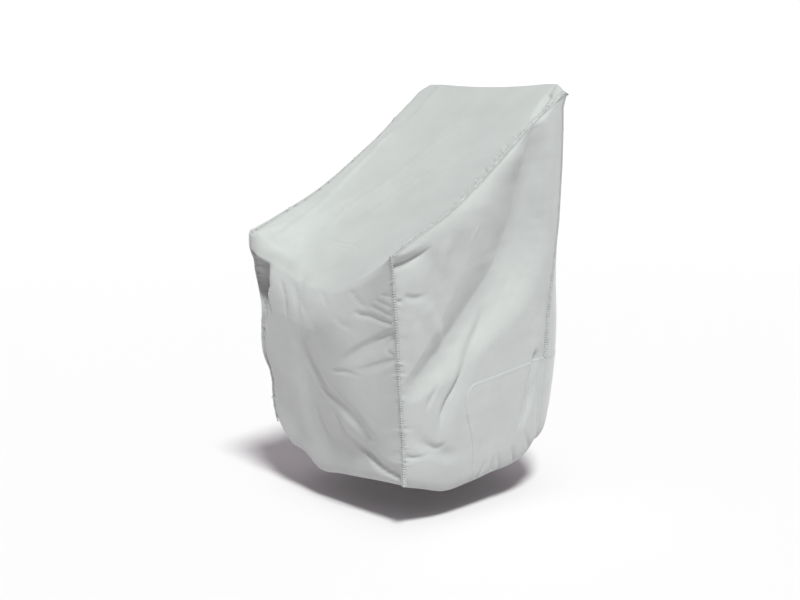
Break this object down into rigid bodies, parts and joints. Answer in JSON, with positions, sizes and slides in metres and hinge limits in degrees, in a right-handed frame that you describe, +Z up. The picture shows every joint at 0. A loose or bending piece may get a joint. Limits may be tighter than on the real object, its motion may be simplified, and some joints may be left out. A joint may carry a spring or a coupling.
{
  "type": "bar chair cover",
  "caption": "Fitted weather cover of coated cloth for a tall bar chair with arms: a strip over front, sloped seat and back, with side panels, a rear apron and a drawn-in hem.",
  "frame": {"origin": "underside of the cover's crest, in the middle, where the top of the chair's back carries it", "axes": "+Z up, +X to the right of someone who faces the front, +Y from the front to the back"},
  "size_m": [0.6336, 0.7442, 1.096],
  "materials": {
    "coated_cloth": "pale grey woven polyester with a water-resistant coating, matt with a slight sheen"
  },
  "bodies": {
    "root": {"front_top_and_back": "coated_cloth", "side_right": "coated_cloth", "side_left": "coated_cloth", "rear_apron": "coated_cloth"}
  },
  "joints": []
}
